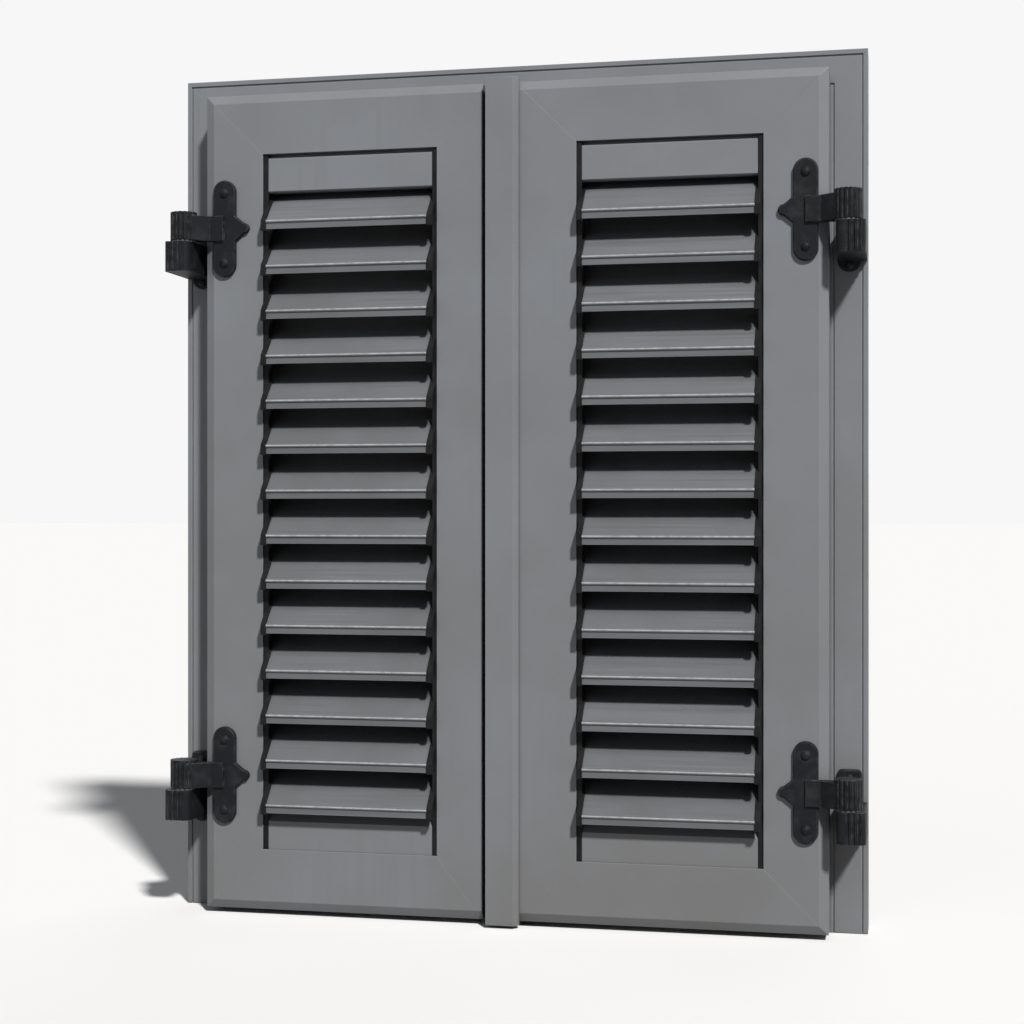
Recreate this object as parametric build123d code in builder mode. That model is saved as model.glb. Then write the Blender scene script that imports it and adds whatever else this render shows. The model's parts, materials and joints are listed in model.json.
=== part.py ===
from build123d import *
import os
from math import cos, radians, sin, sqrt

os.makedirs("parts", exist_ok=True)

# A pair of side-hung louvred shutters in their fixed frame, sizes in millimetres.
# The street side looks along -Y, +Z is up, and the origin is the middle of the frame's foot.

# Leaves
leaf_height = 930.0
leaf_depth = 45.0
opening_width = 204.5
opening_offset = 79.0  # from the middle of the pair to the near side of each louvre opening
profile_width = 69.0  # face width of stiles and rails
profile_wall = 2.2
left_meeting_width = 52.0
bevel_width = 10.0
bevel_depth = 5.0

# Fixed frame
frame_profile = 58.0
frame_depth = 45.0
frame_wall = 2.5
jamb_show = 40.5  # jamb seen beside each leaf
head_show = 28.0  # head seen above the leaves
foot_gap = 6.0  # between the leaves and the level of the frame's foot
bar_height = 25.0
face_gap = 2.0  # between the leaves' back and the frame's face
groove_width = 2.0
groove_depth = 1.5
outer_groove = 5.0  # from the frame's outer edge
inner_groove = 36.0

# Slats and fillers
slat_spacing = 51.0  # the nearest even division of the opening is used
slat_height = 60.0
slat_angle = 46.5
slat_thickness = 8.0
slat_wall = 1.4
slat_proud = 13.0  # nose in front of the leaf's face
nose_height = 9.5
nose_lip = 3.0
lowest_nose = 43.5  # above the opening's bottom edge
highest_nose = 87.5  # below the opening's top edge
top_filler_height = 43.5
bottom_filler_height = 32.0
filler_thickness = 12.0
filler_recess = 3.0
filler_step = 4.0
flange_rise = 23.0
flange_thickness = 4.0
carrier_thickness = 2.5
carrier_recess = 2.0
clip_thickness = 6.0
clip_margin = 1.5

# Cover strip on the right leaf
strip_gap = 6.0  # from the left leaf, which swings past the strip
strip_over_stile = 5.4
strip_proud = 11.0
strip_bevel = 5.0
strip_behind = 25.0
strip_over_leaf = 3.0  # longer than the leaf at each end
strip_wall = 2.0

# Hinges
hinge_from_end = 153.0  # from the leaf's end to the middle of the strap's arm
axis_out = 21.0  # hinge axis beyond the leaf's edge
axis_front = 14.0  # hinge axis in front of the leaf's face
pin_radius = 5.0
pin_play = 0.05
knuckle_radius = 15.0
arm_height = 28.0
knuckle_top = 18.0  # above the middle of the arm
knuckle_cap = 2.7
strap_plate_length = 110.0
strap_plate_width = 27.0
strap_plate_thickness = 5.0
strap_plate_inset = 24.0  # plate's middle from the leaf's edge
strap_tail = 16.0
tail_nose = 6.0
arm_thickness = 8.0
strap_edge = 1.2
flute_radius = 1.5
flute_step = 24.0
washer_thickness = 1.5
washer_play = 0.3
block_length = 34.0
block_outer = 19.0
block_inner = 12.0
block_round = 8.0
bracket_width = 26.0
bracket_thickness = 5.0
bracket_top = 20.0
bracket_bottom = 62.0
bracket_screw_low = 55.5
bracket_screw_high = 11.0

# Fasteners
bolt_radius = 3.0
bolt_head_radius = 5.5
bolt_head_height = 3.0
nut_radius = 5.8
nut_height = 5.0
bolt_spacing = 80.0
screw_radius = 2.1
screw_head_radius = 4.0
screw_head_height = 2.4
screw_length = 12.0
hole_play = 0.15

# Turning rod on the back of the right leaf
rod_radius = 6.0
rod_standoff = 13.0
rod_play = 0.06
rod_end_gap = 5.0
guide_count = 4
guide_end = 70.0  # from the rod's end to the first guide
guide_height = 18.0
guide_ring = 3.2
guide_half_width = 19.0
guide_base = 3.0
guide_screw_out = 14.5
keeper_radius = 14.0  # keeper pin from the rod's axis
keeper_pin_radius = 3.0
keeper_length = 44.0
keeper_width = 22.0
keeper_plate = 3.0
keeper_pin_length = 10.0
keeper_screw_out = 15.0
hook_thickness = 5.0
hook_play = 0.8
hook_finger = 5.0
hook_tip_angle = 113.0
hook_root_angle = 197.0
hook_web_angle = 209.0
handle_length = 95.0
handle_hub_radius = 10.5
handle_hub_height = 40.0
handle_root_height = 18.0
handle_tip_height = 12.0
handle_thickness = 8.0
handle_knob_radius = 9.0
catch_out = 28.0  # catch's middle from the rod's axis
catch_width = 12.0
catch_prong = 4.0
catch_play = 0.7
catch_plate = 3.0
catch_plate_height = 52.0

# Slide bolts on the back of the left leaf
slide_radius = 5.0
slide_play = 0.05
slide_standoff = 11.0
slide_length = 142.0
slide_travel = 15.0
slide_end_gap = 2.0
slide_knob_radius = 3.0
slide_knob_height = 14.0
housing_width = 18.0
housing_depth = 18.5
housing_length = 64.0
housing_plate_width = 24.0
housing_plate_length = 92.0
housing_plate = 2.5
housing_end_gap = 54.0
slot_play = 0.3
socket_play = 0.5

# Wall anchors through the jambs
anchor_radius = 4.5
anchor_inset = 120.0
anchor_depth = 30.5  # from the frame's face

# Levels and faces worked out from the sizes above
frame_front = -frame_depth / 2
leaf_back = frame_front - face_gap
leaf_front = leaf_back - leaf_depth
hinge_edge = opening_offset + opening_width + profile_width
frame_half = hinge_edge + jamb_show
leaf_bottom = foot_gap
leaf_top = leaf_bottom + leaf_height
frame_height = leaf_top + head_show
head_low = frame_height - frame_profile
opening_bottom = leaf_bottom + profile_width
opening_top = leaf_top - profile_width
opening_far = opening_offset + opening_width
right_meeting_edge = opening_offset - profile_width
left_meeting_edge = opening_offset - left_meeting_width
strip_left = strip_gap - left_meeting_edge
slat_gaps = round((opening_top - opening_bottom - lowest_nose - highest_nose) / slat_spacing)
slat_pitch = (opening_top - opening_bottom - lowest_nose - highest_nose) / slat_gaps
slat_noses = [opening_bottom + lowest_nose + i * slat_pitch for i in range(slat_gaps + 1)]
axis_x = hinge_edge + axis_out
axis_y = leaf_front - axis_front
hinge_levels = {"bottom": leaf_bottom + hinge_from_end, "top": leaf_top - hinge_from_end}
strap_plate_x = hinge_edge - strap_plate_inset
block_top = -arm_height / 2 - washer_play - washer_thickness
rod_x = (right_meeting_edge + opening_offset) / 2
rod_y = leaf_back + rod_standoff
keeper_y = rod_y + keeper_radius
handle_z = (bar_height + head_low) / 2  # halfway between the two middle guides
slide_x = (left_meeting_edge + opening_offset) / 2
slide_y = leaf_back + slide_standoff


def save(builder, name):
    """Label a finished piece and write it."""
    builder.part.label = name
    export_step(builder.part, f"parts/{name}.step")


def save_handed(builder, side, name):
    """Write a piece drawn for the right leaf, or its mirror image for the left one."""
    with BuildPart() as handed:
        if side == "right":
            add(builder.part)
        else:
            mirror(builder.part, about=Plane.YZ)
    save(handed, name)


def seen_from_street(depth):
    """A sketch plane at one depth, X to the right and Z up, that extrudes towards the street."""
    return Plane.XZ.offset(-depth)


def seen_from_room(depth):
    """A sketch plane at one depth, X to the left and Z up, that extrudes towards the room."""
    return Plane((0, depth, 0), x_dir=(-1, 0, 0), z_dir=(0, 1, 0))


# Fixed frame: one extrusion, mitred at the two top corners


def frame_member(plane, length, mitres):
    """A length of the frame's extrusion. Local X runs inwards from the outer edge, local Y into the depth."""
    with BuildPart() as member:
        with BuildSketch(plane):
            Rectangle(frame_profile, frame_depth, align=Align.MIN)
            with Locations((outer_groove, 0), (inner_groove, 0)):
                Rectangle(groove_width, groove_depth, align=Align.MIN, mode=Mode.SUBTRACT)
            with Locations((frame_wall, frame_wall + groove_depth)):
                chamber_depth = frame_depth - 2 * frame_wall - groove_depth
                Rectangle(frame_profile - 2 * frame_wall, chamber_depth, align=Align.MIN, mode=Mode.SUBTRACT)
        extrude(amount=length)
        for mitre in mitres:
            split(bisect_by=mitre, keep=Keep.TOP)
    return member.part


def corner_mitre(side, towards_head):
    """The plane of a top corner's mitre. Its normal points into the head or into the jamb."""
    sign = 1 if side == "right" else -1
    turn = 1 if towards_head else -1
    corner = (sign * frame_half, 0, frame_height)
    return Plane(corner, x_dir=(0, 1, 0), z_dir=(-sign * turn, 0, turn))


def anchor_holes(side):
    """The axis planes of one jamb's wall anchors, seen from the outer side."""
    sign = 1 if side == "right" else -1
    return [
        Plane((sign * (frame_half + 1), frame_front + anchor_depth, level), z_dir=(-sign, 0, 0))
        for level in (anchor_inset, frame_height - anchor_inset)
    ]


def make_jamb(side):
    """A jamb with its mitre, wall anchor holes and the screw holes of the hinge brackets."""
    sign = 1 if side == "right" else -1
    start = 0 if side == "left" else frame_height
    plane = Plane((sign * frame_half, frame_front, start), x_dir=(-sign, 0, 0), z_dir=(0, 0, -sign))
    with BuildPart() as jamb:
        add(frame_member(plane, frame_height, [corner_mitre(side, False)]))
        for hole in anchor_holes(side):
            with BuildSketch(hole):
                Circle(anchor_radius)
            extrude(amount=frame_profile + 2, mode=Mode.SUBTRACT)
        with BuildSketch(seen_from_room(frame_front)):
            for level in hinge_levels.values():
                with Locations(
                    (-sign * axis_x, level - bracket_screw_low), (-sign * axis_x, level + bracket_screw_high)
                ):
                    Circle(screw_radius + hole_play)
        extrude(amount=frame_wall + groove_depth, mode=Mode.SUBTRACT)
    save(jamb, f"{side}_jamb")


def make_head():
    """The head with its mitres, the keeper's screw holes and the upper slide bolt's socket."""
    plane = Plane((-frame_half, frame_front, frame_height), x_dir=(0, 0, -1), z_dir=(1, 0, 0))
    mitres = [corner_mitre("left", True), corner_mitre("right", True)]
    with BuildPart() as head:
        add(frame_member(plane, 2 * frame_half, mitres))
        with BuildSketch(Plane.XY.offset(head_low)):
            with Locations((rod_x - keeper_screw_out, keeper_y), (rod_x + keeper_screw_out, keeper_y)):
                Circle(screw_radius + hole_play)
            with Locations((-slide_x, slide_y)):
                Circle(slide_radius + socket_play)
        extrude(amount=frame_wall, mode=Mode.SUBTRACT)
    save(head, "head")


def make_bottom_bar():
    """The hollow bar between the jambs, which the leaves' bottom rails close against."""
    half = frame_half - frame_profile
    with BuildPart() as bar:
        with BuildSketch(Plane.YZ.offset(-half)):
            with Locations((frame_front, 0)):
                Rectangle(frame_depth, bar_height, align=Align.MIN)
            with Locations((frame_front + frame_wall, frame_wall)):
                Rectangle(
                    frame_depth - 2 * frame_wall, bar_height - 2 * frame_wall, align=Align.MIN,
                    mode=Mode.SUBTRACT,
                )
        extrude(amount=2 * half)
        with BuildSketch(Plane.XY.offset(bar_height - frame_wall)):
            with Locations((rod_x - keeper_screw_out, keeper_y), (rod_x + keeper_screw_out, keeper_y)):
                Circle(screw_radius + hole_play)
            with Locations((-slide_x, slide_y)):
                Circle(slide_radius + socket_play)
        extrude(amount=frame_wall, mode=Mode.SUBTRACT)
    save(bar, "bottom_bar")


# Leaf frames: hollow stiles and rails, mitred at the corners, bevelled along the outer edges


def leaf_envelope(meeting_edge, inset):
    """The leaf's outer block with its bevels, or the same block drawn in by a wall's thickness."""
    slope = bevel_depth / bevel_width
    shift = inset * sqrt(1 + slope**2)
    front, back = leaf_front + inset, leaf_back - inset
    bevel_in = bevel_width + (shift - inset) / slope
    bevel_back = leaf_front + (bevel_width - inset) * slope + shift
    edge = hinge_edge - inset
    bottom, top = leaf_bottom + inset, leaf_top - inset
    with BuildPart() as block:
        with BuildSketch(Plane.XY.offset(bottom)):
            Polygon(
                (meeting_edge, back), (edge, back), (edge, bevel_back), (hinge_edge - bevel_in, front),
                (meeting_edge, front),
            )
        extrude(amount=top - bottom)
        with BuildSketch(Plane.YZ.offset(meeting_edge)):
            Polygon(
                (back, bottom), (back, top), (bevel_back, top), (front, leaf_top - bevel_in),
                (front, leaf_bottom + bevel_in), (bevel_back, bottom),
            )
        extrude(amount=hinge_edge - meeting_edge, mode=Mode.INTERSECT)
    return block.part


def mitre_point(corner, share, meeting_edge):
    """A point on a corner's mitre, with share 0 at the louvre opening and 1 at the leaf's edge."""
    across, level = corner
    inner_x, outer_x = (opening_offset, meeting_edge) if across == "meeting" else (opening_far, hinge_edge)
    inner_z, outer_z = (opening_bottom, leaf_bottom) if level == "bottom" else (opening_top, leaf_top)
    return inner_x + (outer_x - inner_x) * share, inner_z + (outer_z - inner_z) * share


def leaf_member(corners, width, meeting_edge, street_holes, room_holes):
    """A hollow stile or rail between two mitres. Holes are (x, z, radius) through one wall."""
    first, last = corners

    def outline(near, far):
        return [
            mitre_point(first, near, meeting_edge), mitre_point(first, far, meeting_edge),
            mitre_point(last, far, meeting_edge), mitre_point(last, near, meeting_edge),
        ]

    with BuildPart() as chamber:
        with BuildSketch(seen_from_street(leaf_back)):
            Polygon(*outline(profile_wall / width, 1 - profile_wall / width))
        extrude(amount=leaf_depth)
        add(leaf_envelope(meeting_edge, profile_wall), mode=Mode.INTERSECT)
    with BuildPart() as member:
        with BuildSketch(seen_from_street(leaf_back)):
            Polygon(*outline(0, 1))
        extrude(amount=leaf_depth)
        add(leaf_envelope(meeting_edge, 0), mode=Mode.INTERSECT)
        add(chamber.part, mode=Mode.SUBTRACT)
        for x, z, radius in street_holes:
            with BuildSketch(seen_from_street(leaf_front + profile_wall)):
                with Locations((x, z)):
                    Circle(radius)
            extrude(amount=profile_wall, mode=Mode.SUBTRACT)
        for x, z, radius in room_holes:
            with BuildSketch(seen_from_street(leaf_back)):
                with Locations((x, z)):
                    Circle(radius)
            extrude(amount=profile_wall, mode=Mode.SUBTRACT)
    return member


def strap_bolt_places():
    """Where the bolts of one leaf's two hinge straps go through the hinge stile, as (x, z)."""
    return [
        (strap_plate_x, level + half)
        for level in hinge_levels.values()
        for half in (-bolt_spacing / 2, bolt_spacing / 2)
    ]


def make_leaf_frame(side, meeting_edge, gear_holes):
    """The two stiles and two rails of one leaf."""
    meeting_width = opening_offset - meeting_edge
    bolts = [(x, z, bolt_radius + hole_play) for x, z in strap_bolt_places()]
    low_hinge, high_hinge = ("hinge", "bottom"), ("hinge", "top")
    low_meeting, high_meeting = ("meeting", "bottom"), ("meeting", "top")
    hinge_stile = leaf_member((low_hinge, high_hinge), profile_width, meeting_edge, bolts, bolts)
    save_handed(hinge_stile, side, f"{side}_hinge_stile")
    for name, ends in (
        ("top_rail", (high_meeting, high_hinge)),
        ("bottom_rail", (low_meeting, low_hinge)),
    ):
        rail = leaf_member(ends, profile_width, meeting_edge, [], [])
        save_handed(rail, side, f"{side}_{name}")
    meeting_stile = leaf_member((low_meeting, high_meeting), meeting_width, meeting_edge, [], gear_holes)
    save_handed(meeting_stile, side, f"{side}_meeting_stile")


# Louvre: inclined hollow slats held in end clips on carrier strips, with a filler above and below


def slat_points(nose):
    """The slat's corners in the YZ plane, from the nose's foot round by the back."""
    run, rise = cos(radians(slat_angle)), sin(radians(slat_angle))
    y, z = leaf_front - slat_proud, nose
    ridge = (y + flange_thickness / 3, z + nose_height + flange_thickness / 3)
    length = (slat_height - (ridge[1] - z)) / rise
    back = (ridge[0] + length * run, ridge[1] + length * rise)
    under_back = (back[0] + slat_thickness * rise, back[1] - slat_thickness * run)
    under_front = (ridge[0] + slat_thickness * rise, ridge[1] - slat_thickness * run)
    return {
        "foot": (y, z),
        "brow": (y, z + nose_height * 2 / 3),
        "bead": (y - slat_wall, z + nose_height),
        "ridge": ridge,
        "back": back,
        "under_back": under_back,
        "under_front": under_front,
        "lip": (y + nose_lip, z),
    }


def make_slats(side):
    """All the slats of one leaf, each a hollow extrusion with a beaded nose."""
    run, rise = cos(radians(slat_angle)), sin(radians(slat_angle))
    start = opening_offset + carrier_thickness + clip_thickness
    length = opening_width - 2 * (carrier_thickness + clip_thickness)
    with BuildPart() as slats:
        for nose in slat_noses:
            at = slat_points(nose)
            with BuildSketch(Plane.YZ.offset(start)) as section:
                with BuildLine():
                    Line(at["foot"], at["brow"])
                    ThreePointArc(at["brow"], at["bead"], at["ridge"])
                    Polyline(
                        at["ridge"], at["back"], at["under_back"], at["under_front"], at["lip"], at["foot"]
                    )
                make_face()
                fillet(section.vertices().group_by(Axis.Y)[-1], slat_thickness / 4)
                near, far = slat_thickness / 2, (at["back"][0] - at["ridge"][0]) / run - slat_wall * 2
                Polygon(*[
                    (
                        at["ridge"][0] + along * run + across * rise,
                        at["ridge"][1] + along * rise - across * run,
                    )
                    for along, across in (
                        (near, slat_wall), (far, slat_wall),
                        (far, slat_thickness - slat_wall), (near, slat_thickness - slat_wall),
                    )
                ], mode=Mode.SUBTRACT)
            extrude(amount=length)
    save_handed(slats, side, f"{side}_slats")


def make_clips(side, end, start):
    """The end clips of one side of a louvre, a little larger than the slats all round."""
    with BuildPart() as clips:
        for nose in slat_noses:
            at = slat_points(nose)
            with BuildSketch(Plane.YZ.offset(start)):
                Polygon(
                    at["foot"], (at["foot"][0], at["bead"][1]), at["ridge"], at["back"],
                    at["under_back"], at["under_front"], at["lip"],
                )
                offset(amount=clip_margin, kind=Kind.INTERSECTION)
            extrude(amount=clip_thickness)
    save_handed(clips, side, f"{side}_{end}_clips")


def make_carrier(side, end, start):
    """The strip that carries one side's clips, the whole height of the opening."""
    with BuildPart() as carrier:
        with BuildSketch(Plane.XY.offset(opening_bottom)):
            with Locations((start, leaf_front + carrier_recess)):
                Rectangle(carrier_thickness, leaf_depth - 2 * carrier_recess, align=Align.MIN)
        extrude(amount=opening_top - opening_bottom)
    save_handed(carrier, side, f"{side}_{end}_carrier")


def make_fillers(side):
    """The flat boards that close the louvre above the top slat and below the bottom one."""
    front = leaf_front + filler_recess
    back = front + filler_thickness
    start = opening_offset + carrier_thickness
    length = opening_width - 2 * carrier_thickness
    top_low = opening_top - top_filler_height
    with BuildPart() as top_filler:
        with BuildSketch(Plane.YZ.offset(start)):
            Polygon(
                (front, top_low), (front, opening_top - filler_step),
                (back - filler_step, opening_top - filler_step), (back - filler_step, opening_top),
                (back, opening_top), (back, top_low),
            )
        extrude(amount=length)
        chamfer(top_filler.edges().filter_by(Axis.X).group_by(Axis.Y)[0], slat_wall)
    save_handed(top_filler, side, f"{side}_top_filler")
    edge = opening_bottom + bottom_filler_height
    flange_run = flange_rise * cos(radians(slat_angle)) / sin(radians(slat_angle))
    with BuildPart() as bottom_filler:
        with BuildSketch(Plane.YZ.offset(start)):
            Polygon(
                (front, opening_bottom), (front, edge),
                (front + flange_run, edge + flange_rise), (front + flange_run + flange_thickness, edge + flange_rise),
                (front + flange_thickness * 2, edge), (back, edge - flange_thickness), (back, opening_bottom),
            )
        extrude(amount=length)
    save_handed(bottom_filler, side, f"{side}_bottom_filler")


def make_louvre(side):
    """Slats, clips, carriers and fillers of one leaf."""
    make_slats(side)
    make_fillers(side)
    far = opening_far - carrier_thickness
    make_carrier(side, "inner", opening_offset)
    make_carrier(side, "outer", far)
    make_clips(side, "inner", opening_offset + carrier_thickness)
    make_clips(side, "outer", far - clip_thickness)


def make_cover_strip():
    """The hollow strip on the right leaf that closes the joint between the leaves."""
    right = right_meeting_edge + strip_over_stile
    front, back = leaf_front - strip_proud, leaf_front + strip_behind
    low = leaf_bottom - strip_over_leaf
    with BuildPart() as strip:
        with BuildSketch(Plane.XY.offset(low)):
            Polygon(
                (strip_left, front), (right - strip_bevel, front), (right, front + strip_bevel),
                (right, leaf_front), (right_meeting_edge, leaf_front), (right_meeting_edge, back),
                (strip_left, back),
            )
            with Locations((strip_left + strip_wall, front + strip_wall)):
                Rectangle(
                    right_meeting_edge - strip_left - 2 * strip_wall, back - front - 2 * strip_wall,
                    align=Align.MIN, mode=Mode.SUBTRACT,
                )
        extrude(amount=leaf_height + 2 * strip_over_leaf)
    save(strip, "cover_strip")


# Cast hinges, drawn for the right leaf


def make_hinge_strap(side, end):
    """Plate, tail, arm and upper knuckle, with a blind bore for the pin."""
    level = hinge_levels[end]
    arm_low = level - arm_height / 2
    with BuildPart() as strap:
        with BuildSketch(seen_from_street(leaf_front)):
            with Locations((strap_plate_x, level)):
                SlotOverall(strap_plate_length, strap_plate_width, rotation=90)
            tip = strap_plate_x - strap_plate_width / 2 - strap_tail
            with BuildLine():
                Polyline(
                    (strap_plate_x, level - arm_height / 2), (strap_plate_x, level + arm_height / 2),
                    (strap_plate_x - strap_plate_width / 2, level + arm_height / 2),
                    (tip + tail_nose, level + tail_nose),
                )
                ThreePointArc(
                    (tip + tail_nose, level + tail_nose), (tip, level), (tip + tail_nose, level - tail_nose)
                )
                Polyline(
                    (tip + tail_nose, level - tail_nose),
                    (strap_plate_x - strap_plate_width / 2, level - arm_height / 2),
                    (strap_plate_x, level - arm_height / 2),
                )
            make_face()
        extrude(amount=strap_plate_thickness)
        street_face = strap.faces().sort_by(Axis.Y)[0]
        chamfer(street_face.edges(), strap_edge)
        with BuildSketch(Plane.XY.offset(arm_low)):
            Polygon(
                (strap_plate_x, leaf_front), (hinge_edge, leaf_front),
                (axis_x, axis_y + knuckle_radius - flute_radius), (axis_x, axis_y),
                (axis_x - knuckle_radius / 2, axis_y - knuckle_radius * 0.8),
                (hinge_edge - arm_thickness, leaf_front - arm_thickness),
                (strap_plate_x, leaf_front - arm_thickness),
            )
        extrude(amount=arm_height)
        with BuildSketch(Plane.XY.offset(arm_low)):
            with Locations((axis_x, axis_y)):
                Circle(knuckle_radius)
                with PolarLocations(knuckle_radius, 11, start_angle=-150, angular_range=240):
                    Circle(flute_radius, mode=Mode.SUBTRACT)
        extrude(amount=arm_height / 2 + knuckle_top)
        with BuildSketch(Plane.XY.offset(arm_low)):
            with Locations((axis_x, axis_y)):
                Circle(pin_radius + pin_play)
        extrude(amount=arm_height / 2 + knuckle_top - knuckle_cap, mode=Mode.SUBTRACT)
        with BuildSketch(seen_from_street(leaf_front)):
            for half in (-bolt_spacing / 2, bolt_spacing / 2):
                with Locations((strap_plate_x, level + half)):
                    Circle(bolt_radius + hole_play)
        extrude(amount=strap_plate_thickness, mode=Mode.SUBTRACT)
    save_handed(strap, side, f"{side}_{end}_strap")


def make_hinge_bracket(side, end):
    """Jamb plate with a rounded foot, and the fluted block that carries the pin."""
    level = hinge_levels[end]
    top = level + block_top
    low = top - block_length
    plate_front = frame_front - bracket_thickness
    with BuildPart() as bracket:
        with BuildSketch(seen_from_street(frame_front)) as outline:
            with Locations((axis_x, level - bracket_bottom + bracket_width / 2)):
                Circle(bracket_width / 2)
                with Locations((-bracket_width / 2, 0)):
                    Rectangle(
                        bracket_width, bracket_bottom + bracket_top - bracket_width / 2, align=Align.MIN
                    )
            fillet(outline.vertices().group_by(Axis.Y)[-1], bracket_thickness)
        extrude(amount=bracket_thickness)
        street_face = bracket.faces().sort_by(Axis.Y)[0]
        chamfer(street_face.edges(), strap_edge)
        with BuildSketch(Plane.XY.offset(low)) as block:
            with Locations((axis_x - block_inner, axis_y - knuckle_radius)):
                Rectangle(
                    block_inner + block_outer, frame_front - axis_y + knuckle_radius, align=Align.MIN
                )
            fillet(block.vertices().group_by(Axis.Y)[0], block_round)
            outer = axis_x + block_outer
            with Locations(*[(outer, axis_y + i * flute_step / 4) for i in range(9)]):
                Circle(flute_radius, mode=Mode.SUBTRACT)
            with Locations(*[(axis_x + i * flute_step / 4, axis_y - knuckle_radius) for i in (0, 1, 2)]):
                Circle(flute_radius, mode=Mode.SUBTRACT)
        extrude(amount=block_length)
        with BuildSketch(Plane.XY.offset(top - block_length + bracket_thickness / 2)):
            with Locations((axis_x, axis_y)):
                Circle(pin_radius + pin_play)
        extrude(amount=block_length, mode=Mode.SUBTRACT)
        with BuildSketch(seen_from_street(frame_front)):
            with Locations((axis_x, level - bracket_screw_low), (axis_x, level + bracket_screw_high)):
                Circle(screw_radius + hole_play)
        extrude(amount=frame_front - plate_front, mode=Mode.SUBTRACT)
    save_handed(bracket, side, f"{side}_{end}_bracket")


def make_hinge_pins():
    """The four pins, each set in its bracket and running in its strap, with the washers they carry."""
    with BuildPart() as pins:
        for level in hinge_levels.values():
            low = level + block_top - block_length + bracket_thickness / 2
            high = level + knuckle_top - knuckle_cap - washer_play
            with BuildSketch(Plane.XY.offset(low)):
                with Locations((axis_x, axis_y), (-axis_x, axis_y)):
                    Circle(pin_radius)
            extrude(amount=high - low)
    save(pins, "hinge_pins")
    with BuildPart() as washers:
        for level in hinge_levels.values():
            with BuildSketch(Plane.XY.offset(level + block_top)):
                with Locations((axis_x, axis_y), (-axis_x, axis_y)):
                    Circle(knuckle_radius - flute_radius)
                    Circle(pin_radius + hole_play, mode=Mode.SUBTRACT)
            extrude(amount=washer_thickness)
    save(washers, "hinge_washers")


# Fasteners


def make_strap_bolts(side):
    """Dome-headed bolts through strap and stile, and the hexagon nuts on the room side."""
    head_face = leaf_front - strap_plate_thickness
    with BuildPart() as bolt:
        with BuildSketch(Plane.XY):
            with BuildLine():
                Line((0, leaf_back + nut_height + hole_play * 10), (0, head_face - bolt_head_height))
                ThreePointArc(
                    (0, head_face - bolt_head_height),
                    (bolt_head_radius * 0.7, head_face - bolt_head_height * 0.62),
                    (bolt_head_radius, head_face),
                )
                Polyline(
                    (bolt_head_radius, head_face), (bolt_radius, head_face),
                    (bolt_radius, leaf_back + nut_height + hole_play * 10),
                    (0, leaf_back + nut_height + hole_play * 10),
                )
            make_face()
        revolve(axis=Axis.Y)
    with BuildPart() as bolts:
        with Locations(*[(x, 0, z) for x, z in strap_bolt_places()]):
            add(bolt.part)
    save_handed(bolts, side, f"{side}_strap_bolts")
    with BuildPart() as nuts:
        with BuildSketch(Plane.XZ.offset(-leaf_back - nut_height)):
            with Locations(*strap_bolt_places()):
                RegularPolygon(nut_radius, 6)
                Circle(bolt_radius + hole_play, mode=Mode.SUBTRACT)
        extrude(amount=nut_height)
    save_handed(nuts, side, f"{side}_strap_nuts")


def pan_head_screw():
    """A screw along +Z, its head's seat at zero and its shank below."""
    with BuildPart() as screw:
        with BuildSketch(Plane.XZ):
            with BuildLine():
                Line((0, -screw_length), (0, screw_head_height))
                ThreePointArc(
                    (0, screw_head_height), (screw_head_radius * 0.7, screw_head_height * 0.7),
                    (screw_head_radius, 0),
                )
                Polyline((screw_head_radius, 0), (screw_radius, 0), (screw_radius, -screw_length), (0, -screw_length))
            make_face()
        revolve(axis=Axis.Z)
    return screw.part


def make_screws(places, name):
    """A group of like screws. Each place is a plane whose normal is the head's direction."""
    screw = pan_head_screw()
    with BuildPart() as screws:
        with Locations(*places):
            add(screw)
    save(screws, name)


# Turning rod on the back of the right leaf


def rod_ends():
    """The rod's lowest and highest level."""
    return bar_height + rod_end_gap, head_low - rod_end_gap


def guide_levels():
    """The levels of the rod's guides."""
    low, high = rod_ends()
    first, last = low + guide_end, high - guide_end
    return [first + i * (last - first) / (guide_count - 1) for i in range(guide_count)]


def make_lock_rod():
    """The rod that runs nearly the whole height of the leaf."""
    low, high = rod_ends()
    with BuildPart() as rod:
        with BuildSketch(Plane.XY.offset(low)):
            with Locations((rod_x, rod_y)):
                Circle(rod_radius)
        extrude(amount=high - low)
    save(rod, "lock_rod")


def make_hook(end):
    """A hook on the rod's end, with a slot round the rod's axis that swallows the keeper's pin."""
    low, high = rod_ends()
    base = low + 1 if end == "bottom" else high - 1 - hook_thickness
    slot_outer = keeper_radius + keeper_pin_radius + hook_play
    slot_inner = keeper_radius - keeper_pin_radius - hook_play
    outer = slot_outer + hook_finger
    reach = outer * 2

    def spoke(angle):
        return reach * cos(radians(angle)), reach * sin(radians(angle))

    middle = (hook_tip_angle + hook_root_angle) / 2
    with BuildPart() as hook:
        with BuildSketch(Plane((rod_x, rod_y, base))):
            Circle(outer)
            Circle(slot_outer, mode=Mode.SUBTRACT)
            Polygon((0, 0), spoke(hook_tip_angle), spoke(middle), spoke(hook_web_angle), mode=Mode.INTERSECT)
        extrude(amount=hook_thickness)
        with BuildSketch(Plane((rod_x, rod_y, base))):
            Circle(slot_outer + hook_play)
            Polygon((0, 0), spoke(hook_root_angle), spoke(hook_web_angle), mode=Mode.INTERSECT)
            Circle(slot_inner)
            Circle(rod_radius + rod_play, mode=Mode.SUBTRACT)
        extrude(amount=hook_thickness)
    save(hook, f"{end}_hook")


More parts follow.
